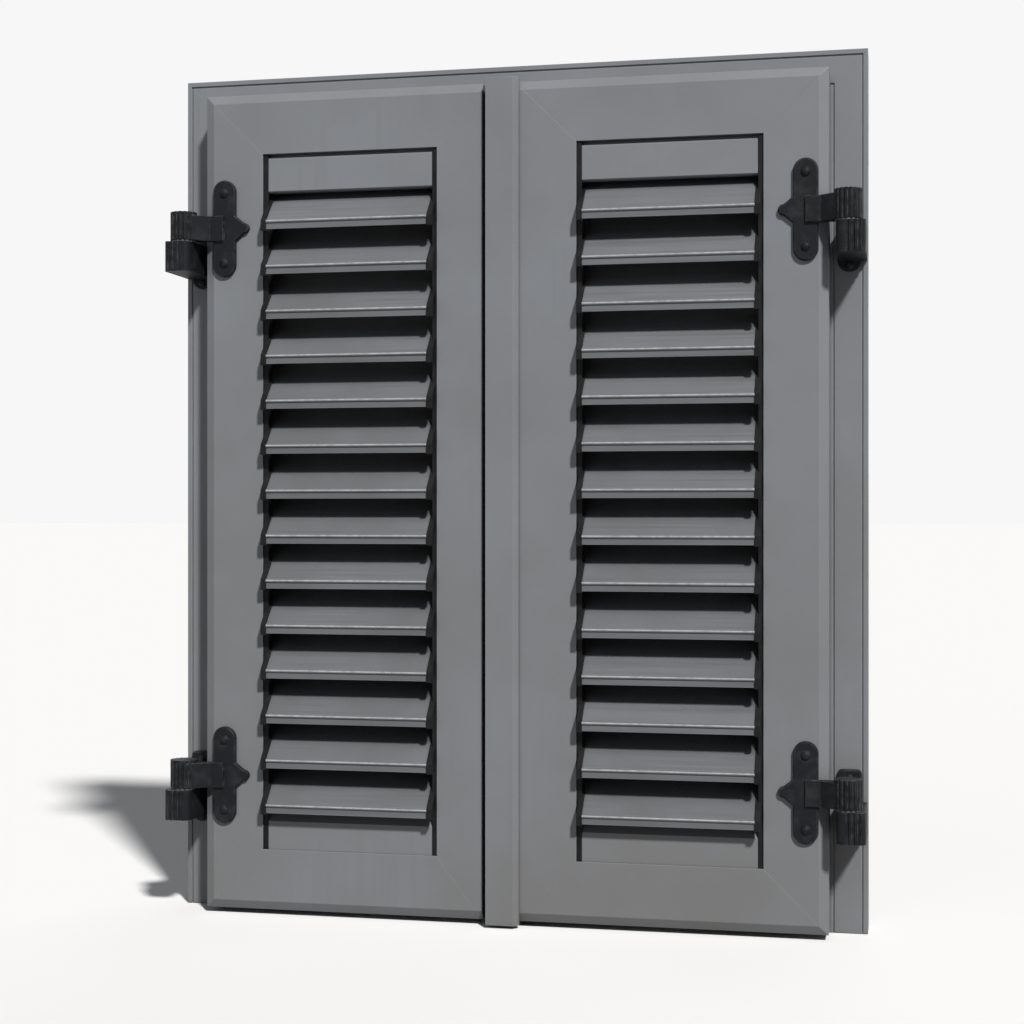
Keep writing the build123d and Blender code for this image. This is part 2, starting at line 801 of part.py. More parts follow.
def make_handle():
    """The lever that turns the rod: a sleeve, a tapered bar and a round knob."""
    bar_end = rod_y + handle_length - handle_knob_radius
    with BuildPart() as handle:
        with BuildSketch(Plane((rod_x, rod_y, handle_z - handle_hub_height / 2))):
            Circle(handle_hub_radius)
        extrude(amount=handle_hub_height)
        with BuildSketch(Plane.YZ.offset(rod_x - handle_thickness / 2)):
            Polygon(
                (rod_y, handle_z - handle_root_height / 2), (bar_end, handle_z - handle_tip_height / 2),
                (bar_end, handle_z + handle_tip_height / 2), (rod_y, handle_z + handle_root_height / 2),
            )
        extrude(amount=handle_thickness)
        with Locations((rod_x, bar_end, handle_z)):
            Sphere(handle_knob_radius)
        with BuildSketch(Plane((rod_x, rod_y, handle_z - handle_hub_height / 2))):
            Circle(rod_radius + rod_play)
        extrude(amount=handle_hub_height, mode=Mode.SUBTRACT)
    save(handle, "lock_handle")


def catch_jaw():
    """Half the height of the catch's gap, where the lever lies in it."""
    taper = (handle_root_height - handle_tip_height) / 2 / (handle_length - handle_knob_radius)
    return handle_root_height / 2 - taper * (catch_out - catch_width / 2) + catch_play


def make_catch():
    """The forked catch on the right leaf that the lever drops into when the leaves are locked."""
    jaw = catch_jaw()
    depth = rod_standoff + handle_thickness / 2
    x = rod_x + catch_out
    with BuildPart() as catch:
        with BuildSketch(seen_from_room(leaf_back)):
            with Locations((-x, handle_z)):
                RectangleRounded(catch_width, catch_plate_height, catch_width / 4)
        extrude(amount=catch_plate)
        with BuildSketch(Plane.YZ.offset(x - catch_width / 2)):
            for up in (-1, 1):
                with Locations((leaf_back, handle_z + up * (jaw + catch_prong / 2))):
                    Rectangle(depth, catch_prong, align=(Align.MIN, Align.CENTER))
        extrude(amount=catch_width)
        with BuildSketch(seen_from_room(leaf_back)):
            with Locations(*catch_screw_places(-1)):
                Circle(screw_radius + hole_play)
        extrude(amount=catch_plate, mode=Mode.SUBTRACT)
    save(catch, "handle_catch")


def catch_screw_places(sign):
    """The catch's two screws, as (x, z) seen from the street (sign 1) or from the room (sign -1)."""
    out = catch_plate_height / 2 - screw_head_radius - catch_play
    return [(sign * (rod_x + catch_out), handle_z + up * out) for up in (-1, 1)]


def make_guides():
    """The saddles that hold the rod to the leaf, each with two screw holes."""
    ring = rod_radius + guide_ring
    with BuildPart() as guides:
        for level in guide_levels():
            with BuildSketch(Plane.XY.offset(level - guide_height / 2)):
                with Locations((rod_x, leaf_back)):
                    Rectangle(2 * guide_half_width, guide_base, align=(Align.CENTER, Align.MIN))
                    Rectangle(2 * ring, rod_standoff, align=(Align.CENTER, Align.MIN))
                with Locations((rod_x, rod_y)):
                    Circle(ring)
                    Circle(rod_radius + rod_play, mode=Mode.SUBTRACT)
            extrude(amount=guide_height)
        with BuildSketch(seen_from_room(leaf_back)):
            with Locations(*[(-x, z) for x, z in guide_screw_places()]):
                Circle(screw_radius + hole_play)
        extrude(amount=guide_base, mode=Mode.SUBTRACT)
    save(guides, "rod_guides")


def guide_screw_places():
    """The guides' screws, as (x, z)."""
    return [
        (rod_x + out, level) for level in guide_levels() for out in (-guide_screw_out, guide_screw_out)
    ]


def make_keeper(end):
    """The plate on the head or the bottom bar, with the pin that the rod's hook turns round."""
    base, up = (bar_height, 1) if end == "bottom" else (head_low, -1)
    with BuildPart() as keeper:
        with BuildSketch(Plane((rod_x, keeper_y, base), z_dir=(0, 0, up))):
            RectangleRounded(keeper_length, keeper_width, keeper_width / 4)
            with Locations((-keeper_screw_out, 0), (keeper_screw_out, 0)):
                Circle(screw_radius + hole_play, mode=Mode.SUBTRACT)
        extrude(amount=keeper_plate)
        with BuildSketch(Plane((rod_x, keeper_y, base + up * keeper_plate), z_dir=(0, 0, up))):
            Circle(keeper_pin_radius)
        extrude(amount=keeper_pin_length)
    save(keeper, f"{end}_keeper")


# Slide bolts on the back of the left leaf, drawn on the right and mirrored


def slide_levels(end):
    """The bolt's tip, its housing's nearer end and the direction from the tip into the leaf."""
    if end == "top":
        return head_low - slide_end_gap, head_low - housing_end_gap, -1
    return bar_height + slide_end_gap, bar_height + housing_end_gap, 1


def housing_screw_places(end):
    """The housing's screws, as (x, z) on the left leaf."""
    near, inward = slide_levels(end)[1:]
    middle = near + inward * housing_plate_length / 2
    out = (housing_plate_length + housing_length) / 4
    return [(-slide_x, middle - out), (-slide_x, middle + out)]


def make_slide_bolt(end):
    """One round bolt with its knob, and the slotted housing that guides it."""
    tip, near, inward = slide_levels(end)
    middle = near + inward * housing_plate_length / 2
    knob_z = middle + inward * slide_travel / 2
    with BuildPart() as bolt:
        with BuildSketch(Plane.XY.offset(min(tip, tip + inward * slide_length))):
            with Locations((slide_x, slide_y)):
                Circle(slide_radius)
        extrude(amount=slide_length)
        with BuildSketch(seen_from_room(slide_y)):
            with Locations((-slide_x, knob_z)):
                Circle(slide_knob_radius)
        extrude(amount=slide_knob_height)
        with Locations((slide_x, slide_y + slide_knob_height, knob_z)):
            Sphere(slide_radius)
    save_handed(bolt, "left", f"{end}_slide_bolt")
    with BuildPart() as housing:
        with BuildSketch(seen_from_room(leaf_back)):
            with Locations((-slide_x, middle)):
                RectangleRounded(housing_plate_width, housing_plate_length, housing_plate_width / 6)
        extrude(amount=housing_plate)
        with BuildSketch(Plane.XY.offset(middle - housing_length / 2)) as block:
            with Locations((slide_x, leaf_back)):
                Rectangle(housing_width, housing_depth, align=(Align.CENTER, Align.MIN))
            fillet(block.vertices().group_by(Axis.Y)[-1], housing_width / 4)
        extrude(amount=housing_length)
        with BuildSketch(Plane.XY.offset(middle - housing_length / 2)):
            with Locations((slide_x, slide_y)):
                Circle(slide_radius + slide_play)
        extrude(amount=housing_length, mode=Mode.SUBTRACT)
        with BuildSketch(seen_from_room(slide_y)):
            with Locations((-slide_x, middle)):
                slot_width = 2 * (slide_knob_radius + slot_play)
                SlotOverall(slide_travel + slot_width, slot_width, rotation=90)
        extrude(amount=housing_depth, mode=Mode.SUBTRACT)
        with BuildSketch(seen_from_room(leaf_back)):
            with Locations(*housing_screw_places(end)):
                Circle(screw_radius + hole_play)
        extrude(amount=housing_plate, mode=Mode.SUBTRACT)
    save_handed(housing, "left", f"{end}_bolt_housing")


def room_plane(x, depth, z):
    """A plane on the room side of a leaf, its normal into the room."""
    return Plane((x, depth, z), x_dir=(-1, 0, 0), z_dir=(0, 1, 0))


def street_plane(x, depth, z):
    """A plane whose normal points to the street."""
    return Plane((x, depth, z), x_dir=(1, 0, 0), z_dir=(0, -1, 0))


# The fixed frame
make_head()
make_jamb("left")
make_jamb("right")
make_bottom_bar()

# The leaves
gear_radius = screw_radius + hole_play
right_gear = [(x, z, gear_radius) for x, z in guide_screw_places() + catch_screw_places(1)]
left_gear = [
    (-x, z, gear_radius) for end in ("bottom", "top") for x, z in housing_screw_places(end)
]
make_leaf_frame("right", right_meeting_edge, right_gear)
make_leaf_frame("left", left_meeting_edge, left_gear)
make_louvre("right")
make_louvre("left")
make_cover_strip()

# The hinges
for side in ("left", "right"):
    make_strap_bolts(side)
    for end in ("bottom", "top"):
        make_hinge_strap(side, end)
        make_hinge_bracket(side, end)
make_hinge_pins()
make_screws(
    [
        street_plane(sign * axis_x, frame_front - bracket_thickness, level + up)
        for sign in (-1, 1)
        for level in hinge_levels.values()
        for up in (-bracket_screw_low, bracket_screw_high)
    ],
    "bracket_screws",
)

# The turning rod and its keepers
make_lock_rod()
make_hook("bottom")
make_hook("top")
make_handle()
make_catch()
make_guides()
make_keeper("bottom")
make_keeper("top")
make_screws(
    [room_plane(x, leaf_back + guide_base, z) for x, z in guide_screw_places()]
    + [room_plane(x, leaf_back + catch_plate, z) for x, z in catch_screw_places(1)],
    "rod_screws",
)
make_screws(
    [
        Plane((rod_x + out, keeper_y, base), z_dir=(0, 0, up))
        for base, up in ((bar_height + keeper_plate, 1), (head_low - keeper_plate, -1))
        for out in (-keeper_screw_out, keeper_screw_out)
    ],
    "keeper_screws",
)

# The slide bolts
make_slide_bolt("bottom")
make_slide_bolt("top")
make_screws(
    [
        room_plane(x, leaf_back + housing_plate, z)
        for end in ("bottom", "top")
        for x, z in housing_screw_places(end)
    ],
    "housing_screws",
)
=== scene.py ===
import json
from math import cos, pi, radians, sin

import bmesh
import bpy
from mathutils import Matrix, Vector


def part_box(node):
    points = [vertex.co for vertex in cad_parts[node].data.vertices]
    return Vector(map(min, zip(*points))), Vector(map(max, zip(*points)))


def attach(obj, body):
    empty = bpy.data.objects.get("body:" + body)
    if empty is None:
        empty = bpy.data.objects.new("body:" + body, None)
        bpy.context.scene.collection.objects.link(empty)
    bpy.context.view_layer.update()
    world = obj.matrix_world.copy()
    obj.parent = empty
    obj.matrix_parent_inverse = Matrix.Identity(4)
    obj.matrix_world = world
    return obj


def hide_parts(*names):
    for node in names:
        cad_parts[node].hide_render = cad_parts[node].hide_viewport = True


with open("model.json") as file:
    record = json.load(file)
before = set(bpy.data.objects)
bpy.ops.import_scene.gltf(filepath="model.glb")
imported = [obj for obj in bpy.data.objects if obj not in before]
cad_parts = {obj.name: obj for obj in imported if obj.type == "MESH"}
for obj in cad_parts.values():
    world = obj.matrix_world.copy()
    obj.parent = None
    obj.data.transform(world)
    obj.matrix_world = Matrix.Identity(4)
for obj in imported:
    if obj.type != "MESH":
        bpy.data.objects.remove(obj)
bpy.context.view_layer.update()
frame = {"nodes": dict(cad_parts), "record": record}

# Camera, in metres and degrees, with the lens and the film in millimetres
CAMERA_PLACE = (0.4341, -2.0708, 0.4577)
CAMERA_TURN = 12.05
CAMERA_LENS = 65.0
CAMERA_FILM_WIDTH = 36.0
CAMERA_SHIFT = 0.0014
CAMERA_NEAREST = 0.05

# Light, with each lamp's bearing to the right of straight on, its height and its width in degrees
KEY_FROM = (33.0, 43.0)
KEY_STRENGTH = 4.1
KEY_WIDTH = 5.0
KEY_COLOUR = (1.0, 0.985, 0.965)
FRONT_FILL_FROM = (-25.0, 25.0)
FRONT_FILL_STRENGTH = 0.22
FRONT_FILL_COLOUR = (0.90, 0.95, 1.0)
BACK_FILL_FROM = (165.0, 12.0)
BACK_FILL_STRENGTH = 1.0
BACK_FILL_COLOUR = (0.95, 0.97, 1.0)
FILL_WIDTH = 70.0
LAMP_DISTANCE = 4.0
EVEN_LIGHT = 0.07
EVEN_LIGHT_COLOUR = (0.93, 0.96, 1.0)
BACKGROUND = 0.93

# Floor
FLOOR_SIZE = 160.0
FLOOR_BELOW_FOOT = 0.0005
FLOOR_SEEN = (0.90, 0.90, 0.90)
FLOOR_BOUNCE = (0.25, 0.25, 0.25)
FLOOR_ROUGHNESS = 0.9

# Colours of the finishes
PAINT = (0.194, 0.208, 0.228)
PAINT_DULL = (0.160, 0.164, 0.171)
# Lighter colour of the paint's edges: partly worn coating, partly painted highlight
PAINT_EDGE = (0.310, 0.322, 0.340)
SLAT_PAINT = (0.166, 0.174, 0.186)
SLAT_DULL = (0.112, 0.116, 0.122)
# Lighter colour of the slats' edges, partly worn coating and partly painted highlight, and the colour of
# the painted highlight on their beads
SLAT_EDGE = (0.400, 0.412, 0.425)
FOOT_DUST = (0.158, 0.156, 0.153)
# Near-black painted shade, laid in hollows where the slats shade one another
PAINTED_SHADE = (0.004, 0.004, 0.0045)
CASTING = (0.0085, 0.0095, 0.0115)
CASTING_WORN = (0.024, 0.025, 0.028)
# Lighter colour of the castings' edges and flutes: partly worn coating, partly painted highlight
CASTING_EDGE = (0.165, 0.170, 0.178)
CLIP_BLACK = (0.006, 0.006, 0.0065)
CLIP_GREY = (0.015, 0.015, 0.016)
ZINC = (0.52, 0.53, 0.54)
ZINC_DULL = (0.36, 0.37, 0.38)
NYLON = (0.075, 0.075, 0.080)
NYLON_PALE = (0.12, 0.12, 0.125)

# Weathering of the coating, as shares
CLOUDS_DULL = 0.75
SPECKS_DULL = 0.22
DUST_EVERYWHERE = 0.6
DUST_STRENGTH = 0.45
DIRT_ROUGHENS = 0.16
SPECKS_STAND_UP = 0.5
DUST_ENDS = 0.75  # metres above the foot

# Skin of the castings and grain of the small fittings, as shares
GRAIN_ROUGHENS = 0.22
PITS_GO_DOWN = 0.6
TONE_ROUGHENS = 0.18

# Relief and rounded edges of every finish, and the samples of the painted shade in hollows
RELIEF_HEIGHT = 0.0004
EDGE_SAMPLES = 4
SHADE_SAMPLES = 4

# Pan head screws
SHANK_RADIUS = 0.0021
SHANK_LENGTH = 0.012
SHANK_SIDES = 24
HEAD_RADIUS = 0.0040
HEAD_HEIGHT = 0.0024
HEAD_DOME = ((1.0, 0.35), (0.93, 0.65), (0.74, 0.88), (0.45, 1.0))  # shares of width and height
RECESS_WIDTH = 0.0009
RECESS_REACH = 0.0022
RECESS_DEPTH = 0.0013
RECESS_TAPER = 0.45
SMOOTH_BELOW = 35.0  # degrees between two faces
SAME_CORNER = 1e-6
SQUARE_ON = 0.9  # how much of a face's normal lies along an axis, at least

# Front lip of the strips that carry the slats' end clips
LIP_WIDTH = 0.0034
LIP_DEPTH = 0.0040
LIP_ROUND = 0.0004
LIP_ROUND_STEPS = 2

# Rubber seal on the left leaf's meeting edge, whose lip reaches behind the cover strip
SEAL_GROOVE = 0.0003
SEAL_FOOT_WIDTH = 0.0030
SEAL_FOOT_DEPTH = 0.0080
SEAL_LIP_THICKNESS = 0.0015
SEAL_OVERLAP = 0.0040
SEAL_PLAY = 0.0005
SEAL_END_GAP = 0.003


# Steps that the shared effects are made of


def new_effect(name, inputs):
    """An empty effect, the sockets that it is given and the three that it fills for every finish."""
    effect = bpy.data.node_groups.new(name, "ShaderNodeTree")
    for label, kind, value in inputs:
        socket = effect.interface.new_socket(name=label, in_out="INPUT", socket_type=kind)
        socket.default_value = value
    for label, kind in (
        ("Colour", "NodeSocketColor"), ("Roughness", "NodeSocketFloat"), ("Height", "NodeSocketFloat"),
    ):
        effect.interface.new_socket(name=label, in_out="OUTPUT", socket_type=kind)
    given = effect.nodes.new("NodeGroupInput").outputs
    made = effect.nodes.new("NodeGroupOutput").inputs
    return effect, given, made


def noise(tree, place, scale, detail, roughness=0.55):
    """A noise texture read at a place."""
    node = tree.nodes.new("ShaderNodeTexNoise")
    node.inputs["Scale"].default_value = scale
    node.inputs["Detail"].default_value = detail
    node.inputs["Roughness"].default_value = roughness
    tree.links.new(place, node.inputs["Vector"])
    return node.outputs["Fac"]


def stretched(tree, place, scale):
    """The place stretched along the axes, for streaks."""
    node = tree.nodes.new("ShaderNodeMapping")
    tree.links.new(scale, node.inputs["Scale"])
    tree.links.new(place, node.inputs["Vector"])
    return node.outputs["Vector"]


def height_of(tree, place):
    """How high a point lies."""
    node = tree.nodes.new("ShaderNodeSeparateXYZ")
    tree.links.new(place, node.inputs["Vector"])
    return node.outputs["Z"]


def ranged(tree, value, low, high, new_low=0.0, new_high=1.0):
    """A value moved from one range to another, and held inside it. A low above the high turns it round."""
    node = tree.nodes.new("ShaderNodeMapRange")
    node.inputs["From Min"].default_value = low
    node.inputs["From Max"].default_value = high
    node.inputs["To Min"].default_value = new_low
    node.inputs["To Max"].default_value = new_high
    tree.links.new(value, node.inputs["Value"])
    return node.outputs["Result"]


def combined(tree, operation, first, second):
    """Two values put together by one operation. The second may be a plain number."""
    node = tree.nodes.new("ShaderNodeMath")
    node.operation = operation
    tree.links.new(first, node.inputs[0])
    if isinstance(second, float):
        node.inputs[1].default_value = second
    else:
        tree.links.new(second, node.inputs[1])
    return node.outputs["Value"]


def times(tree, first, second):
    """One value times another."""
    return combined(tree, "MULTIPLY", first, second)


def plus(tree, first, second):
    """One value added to another."""
    return combined(tree, "ADD", first, second)


def larger(tree, first, second):
    """The larger of two values."""
    return combined(tree, "MAXIMUM", first, second)


def blended(tree, amount, first, second):
    """A colour between two colours."""
    node = tree.nodes.new("ShaderNodeMix")
    node.data_type = "RGBA"
    tree.links.new(amount, node.inputs["Factor"])
    tree.links.new(first, node.inputs["A"])
    tree.links.new(second, node.inputs["B"])
    return node.outputs["Result"]


def object_place(tree):
    """Where a point is on the object, in metres."""
    return tree.nodes.new("ShaderNodeTexCoord").outputs["Object"]


def edge_mask(tree, width):
    """High along the outer edges of a piece, where a coating is worn thin; the lighter colour laid there is
    partly wear and partly a painted highlight.
    """
    rounding = tree.nodes.new("ShaderNodeBevel")
    rounding.samples = EDGE_SAMPLES
    tree.links.new(width, rounding.inputs["Radius"])
    surface = tree.nodes.new("ShaderNodeNewGeometry")
    likeness = tree.nodes.new("ShaderNodeVectorMath")
    likeness.operation = "DOT_PRODUCT"
    tree.links.new(rounding.outputs["Normal"], likeness.inputs[0])
    tree.links.new(surface.outputs["Normal"], likeness.inputs[1])
    return ranged(tree, likeness.outputs["Value"], low=0.99, high=0.80)


def painted_shade_mask(tree, reach):
    """High where a surface is shut in by its neighbours and lies in their shade: the mask of the painted
    shade.
    """
    shelter = tree.nodes.new("ShaderNodeAmbientOcclusion")
    shelter.samples = SHADE_SAMPLES
    tree.links.new(reach, shelter.inputs["Distance"])
    return ranged(tree, shelter.outputs["AO"], low=0.54, high=0.38)


def bead_highlight_mask(tree):
    """High on the rounded bead along a slat's nose, which faces out and a little up towards the key light:
    where a highlight is painted.
    """
    facing = tree.nodes.new("ShaderNodeSeparateXYZ")
    tree.links.new(tree.nodes.new("ShaderNodeTexCoord").outputs["Normal"], facing.inputs["Vector"])
    above = ranged(tree, facing.outputs["Z"], low=-0.30, high=0.10)
    below = ranged(tree, facing.outputs["Z"], low=0.66, high=0.55)
    outwards = ranged(tree, facing.outputs["Y"], low=-0.35, high=-0.55)
    tilted = ranged(tree, combined(tree, "ABSOLUTE", facing.outputs["Z"], 0.0), low=0.02, high=0.06)
    return times(tree, times(tree, times(tree, above, below), outwards), tilted)


# Shared effects, each built once


def build_weathering_and_painted_light():
    """Baked powder coating: orange peel, cloudy dulling and the streaks that rain and dust leave, with
    painted shade in hollows, a painted highlight on the slats' beads, and edges that are partly worn and
    partly a painted highlight.
    """
    effect, given, made = new_effect(
        "weathering_and_painted_light",
        [
            ("Paint", "NodeSocketColor", (*PAINT, 1)),
            ("Dull", "NodeSocketColor", (*PAINT_DULL, 1)),
            ("Edge", "NodeSocketColor", (*PAINT_EDGE, 1)),
            ("Painted shade", "NodeSocketColor", (*PAINTED_SHADE, 1)),
            ("Foot dust", "NodeSocketColor", (*FOOT_DUST, 1)),
            ("Streak", "NodeSocketFloat", 0.5),
            ("Streak scale", "NodeSocketVector", (95.0, 95.0, 3.0)),
            ("Gloss", "NodeSocketFloat", 0.38),
            ("Edge width", "NodeSocketFloat", 0.0012),
            ("Edge wear and highlight", "NodeSocketFloat", 0.8),
            ("Bead highlight", "NodeSocketFloat", 0.0),
            ("Painted shade reach", "NodeSocketFloat", 0.02),
            ("Painted shade amount", "NodeSocketFloat", 0.3),
        ],
    )
    place = object_place(effect)

    clouds = ranged(effect, noise(effect, place, scale=6.0, detail=6.0), low=0.36, high=0.68)
    streaks = noise(effect, stretched(effect, place, given["Streak scale"]), scale=1.0, detail=4.0)
    rain = ranged(effect, streaks, low=0.40, high=0.70)
    specks = ranged(effect, noise(effect, place, scale=420.0, detail=2.0), low=0.60, high=0.78)
    streaked = times(effect, rain, given["Streak"])
    dulled = larger(effect, times(effect, clouds, CLOUDS_DULL), streaked)
    dirt = plus(effect, dulled, times(effect, specks, SPECKS_DULL))
    surface = blended(effect, dirt, given["Paint"], given["Dull"])

    low_down = ranged(effect, height_of(effect, place), low=DUST_ENDS, high=0.0)
    settled = times(effect, plus(effect, clouds, DUST_EVERYWHERE), low_down)
    surface = blended(effect, times(effect, settled, DUST_STRENGTH), surface, given["Foot dust"])

    # Lighter colour along the edges: partly wear, partly painted highlight
    patches = noise(effect, place, scale=160.0, detail=3.0)
    patchy = ranged(effect, patches, low=0.30, high=0.62, new_low=0.45, new_high=1.0)
    edges = times(effect, edge_mask(effect, given["Edge width"]), patchy)
    edges = times(effect, edges, given["Edge wear and highlight"])
    # Painted highlight along the slats' beads, where the nose faces the light
    rubbed_and_highlit = times(effect, bead_highlight_mask(effect), patchy)
    rubbed_and_highlit = times(effect, rubbed_and_highlit, given["Bead highlight"])
    surface = blended(effect, larger(effect, edges, rubbed_and_highlit), surface, given["Edge"])

    # Painted shade: the colour goes near black in hollows that their neighbours shade
    shaded_hollows = times(effect, painted_shade_mask(effect, given["Painted shade reach"]), given["Painted shade amount"])
    surface = blended(effect, shaded_hollows, surface, given["Painted shade"])
    effect.links.new(surface, made["Colour"])
    effect.links.new(plus(effect, given["Gloss"], times(effect, dirt, DIRT_ROUGHENS)), made["Roughness"])

    peel = noise(effect, place, scale=900.0, detail=2.0, roughness=0.4)
    effect.links.new(plus(effect, peel, times(effect, specks, SPECKS_STAND_UP)), made["Height"])
    return effect


def build_casting_skin():
    """The skin of a sand casting under black coating: coarse grain, shallow pits, rubbed high spots, and
    lighter edges that are partly wear and partly a painted highlight.
    """
    effect, given, made = new_effect(
        "casting_skin",
        [
            ("Coating", "NodeSocketColor", (*CASTING, 1)),
            ("Worn", "NodeSocketColor", (*CASTING_WORN, 1)),
            ("Edge", "NodeSocketColor", (*CASTING_EDGE, 1)),
            ("Gloss", "NodeSocketFloat", 0.42),
            ("Edge width", "NodeSocketFloat", 0.0012),
        ],
    )
    place = object_place(effect)
    coarse = noise(effect, place, scale=520.0, detail=4.0, roughness=0.6)
    lumps = noise(effect, place, scale=130.0, detail=2.0)
    pits = effect.nodes.new("ShaderNodeTexVoronoi")
    pits.inputs["Scale"].default_value = 420.0
    effect.links.new(place, pits.inputs["Vector"])
    pitted = ranged(effect, pits.outputs["Distance"], low=0.05, high=0.35)

    rubbed_and_highlit = ranged(effect, noise(effect, place, scale=60.0, detail=5.0), low=0.50, high=0.74)
    surface = blended(effect, rubbed_and_highlit, given["Coating"], given["Worn"])
    patchy = ranged(effect, lumps, low=0.40, high=0.66)
    # Lighter edges: partly wear, partly painted highlight
    edges = times(effect, edge_mask(effect, given["Edge width"]), patchy)
    effect.links.new(blended(effect, edges, surface, given["Edge"]), made["Colour"])
    effect.links.new(plus(effect, given["Gloss"], times(effect, coarse, GRAIN_ROUGHENS)), made["Roughness"])

    skin = plus(effect, coarse, lumps)
    effect.links.new(plus(effect, skin, times(effect, pitted, PITS_GO_DOWN)), made["Height"])
    return effect


def build_fine_grain():
    """A fine even grain, for moulded plastic and plated steel, with a slow change of tone."""
    effect, given, made = new_effect(
        "fine_grain",
        [
            ("Base", "NodeSocketColor", (0.1, 0.1, 0.1, 1)),
            ("Tone", "NodeSocketColor", (0.2, 0.2, 0.2, 1)),
            ("Gloss", "NodeSocketFloat", 0.5),
            ("Grain", "NodeSocketFloat", 1500.0),
        ],
    )
    place = object_place(effect)
    fine = effect.nodes.new("ShaderNodeTexNoise")
    fine.inputs["Detail"].default_value = 2.0
    effect.links.new(place, fine.inputs["Vector"])
    effect.links.new(given["Grain"], fine.inputs["Scale"])
    tone = ranged(effect, noise(effect, place, scale=45.0, detail=4.0), low=0.36, high=0.70)
    effect.links.new(blended(effect, tone, given["Base"], given["Tone"]), made["Colour"])
    effect.links.new(plus(effect, given["Gloss"], times(effect, tone, TONE_ROUGHENS)), made["Roughness"])
    effect.links.new(fine.outputs["Fac"], made["Height"])
    return effect


# Materials


def new_finish(name, effect, values, bump, edge, metallic=0.0, shine=0.5):
    """A material whose colour, roughness and relief come from one shared effect."""
    material = bpy.data.materials.new(name)
    material.use_nodes = True
    tree = material.node_tree
    shader = tree.nodes["Principled BSDF"]
    shader.inputs["Metallic"].default_value = metallic
    shader.inputs["Specular IOR Level"].default_value = shine
    skin = tree.nodes.new("ShaderNodeGroup")
    skin.node_tree = effect
    for label, value in values.items():
        is_colour = skin.inputs[label].type == "RGBA"
        skin.inputs[label].default_value = (*value, 1) if is_colour else value
    rounding = tree.nodes.new("ShaderNodeBevel")
    rounding.samples = EDGE_SAMPLES
    rounding.inputs["Radius"].default_value = edge
    relief = tree.nodes.new("ShaderNodeBump")
    relief.inputs["Strength"].default_value = bump
    relief.inputs["Distance"].default_value = RELIEF_HEIGHT
    tree.links.new(rounding.outputs["Normal"], relief.inputs["Normal"])
    tree.links.new(skin.outputs["Height"], relief.inputs["Height"])
    tree.links.new(skin.outputs["Colour"], shader.inputs["Base Color"])
    tree.links.new(skin.outputs["Roughness"], shader.inputs["Roughness"])
    tree.links.new(relief.outputs["Normal"], shader.inputs["Normal"])
    return material


weathering_and_painted_light = build_weathering_and_painted_light()
casting_skin = build_casting_skin()
fine_grain = build_fine_grain()

frame_paint = new_finish(
    "frame_paint",
    weathering_and_painted_light,
    {"Paint": PAINT, "Dull": PAINT_DULL, "Edge": PAINT_EDGE, "Streak": 0.45, "Gloss": 0.42},
    bump=0.12,
    edge=0.0008,
    shine=0.4,
)
leaf_paint = new_finish(
    "leaf_paint",
    weathering_and_painted_light,
    {"Paint": PAINT, "Dull": PAINT_DULL, "Edge": PAINT_EDGE, "Streak": 0.40, "Gloss": 0.38},
    bump=0.12,
    edge=0.0008,
    shine=0.4,
)
slat_paint = new_finish(
    "slat_paint",
    weathering_and_painted_light,
    {
        "Paint": SLAT_PAINT, "Dull": SLAT_DULL, "Edge": SLAT_EDGE, "Foot dust": SLAT_DULL,
        "Streak": 0.85, "Streak scale": (5.0, 210.0, 210.0), "Gloss": 0.32,
        # Painted shade deep between the slats, and a painted highlight on their beads
        "Bead highlight": 1.0, "Painted shade reach": 0.055, "Painted shade amount": 1.0,
    },
    bump=0.16,
    edge=0.0006,
    shine=0.14,
)
cast_black = new_finish(
    "cast_black",
    casting_skin,
    {"Coating": CASTING, "Worn": CASTING_WORN, "Edge": CASTING_EDGE, "Gloss": 0.42},
    bump=0.5,
    edge=0.0012,
    shine=0.12,
)
gear_black = new_finish(
    "gear_black",
    casting_skin,
    {
        "Coating": CASTING, "Worn": CASTING_WORN, "Edge": CASTING_EDGE,
        "Gloss": 0.46, "Edge width": 0.0008,
    },
    bump=0.22,
    edge=0.0008,
    shine=0.2,
)
clip_black = new_finish(
    "clip_black",
    fine_grain,
    {"Base": CLIP_BLACK, "Tone": CLIP_GREY, "Gloss": 0.52, "Grain": 1500.0},
    bump=0.20,
    edge=0.0005,
    shine=0.12,
)
zinc_plate = new_finish(
    "zinc_plate",
    fine_grain,
    {"Base": ZINC, "Tone": ZINC_DULL, "Gloss": 0.28, "Grain": 2600.0},
    bump=0.12,
    edge=0.0004,
    metallic=1.0,
)
washer_nylon = new_finish(
    "washer_nylon",
    fine_grain,
    {"Base": NYLON, "Tone": NYLON_PALE, "Gloss": 0.45, "Grain": 1200.0},
    bump=0.15,
    edge=0.0003,
)

FINISHES = {
    "black_fittings": cast_black,
    "black_clips": clip_black,
    "zinc_steel": zinc_plate,
    "nylon": washer_nylon,
}
ROD_GEAR = ("lock_rod", "rod_guides", "top_bolt_housing", "bottom_bolt_housing")
FRAME_PIECES = ("head", "left_jamb", "right_jamb", "bottom_bar")


def finish_of(node, slot_name):
    """The finish of one CAD node."""
    if node in ROD_GEAR:
        return gear_black
    if slot_name in FINISHES:
        return FINISHES[slot_name]
    if node.endswith("_slats"):
        return slat_paint
    return frame_paint if node in FRAME_PIECES else leaf_paint


slot_names = {entry["node"]: entry["material_slot"] for entry in frame["record"]["subparts"]}
for node, solid in frame["nodes"].items():
    solid.data.materials.clear()
    solid.data.materials.append(finish_of(node, slot_names[node]))


# Modelling by hand


def nothing_selected():
    """Nothing is selected and no object is in edit mode."""
    if bpy.context.object and bpy.context.object.mode != "OBJECT":
        bpy.ops.object.mode_set(mode="OBJECT")
    bpy.ops.object.select_all(action="DESELECT")


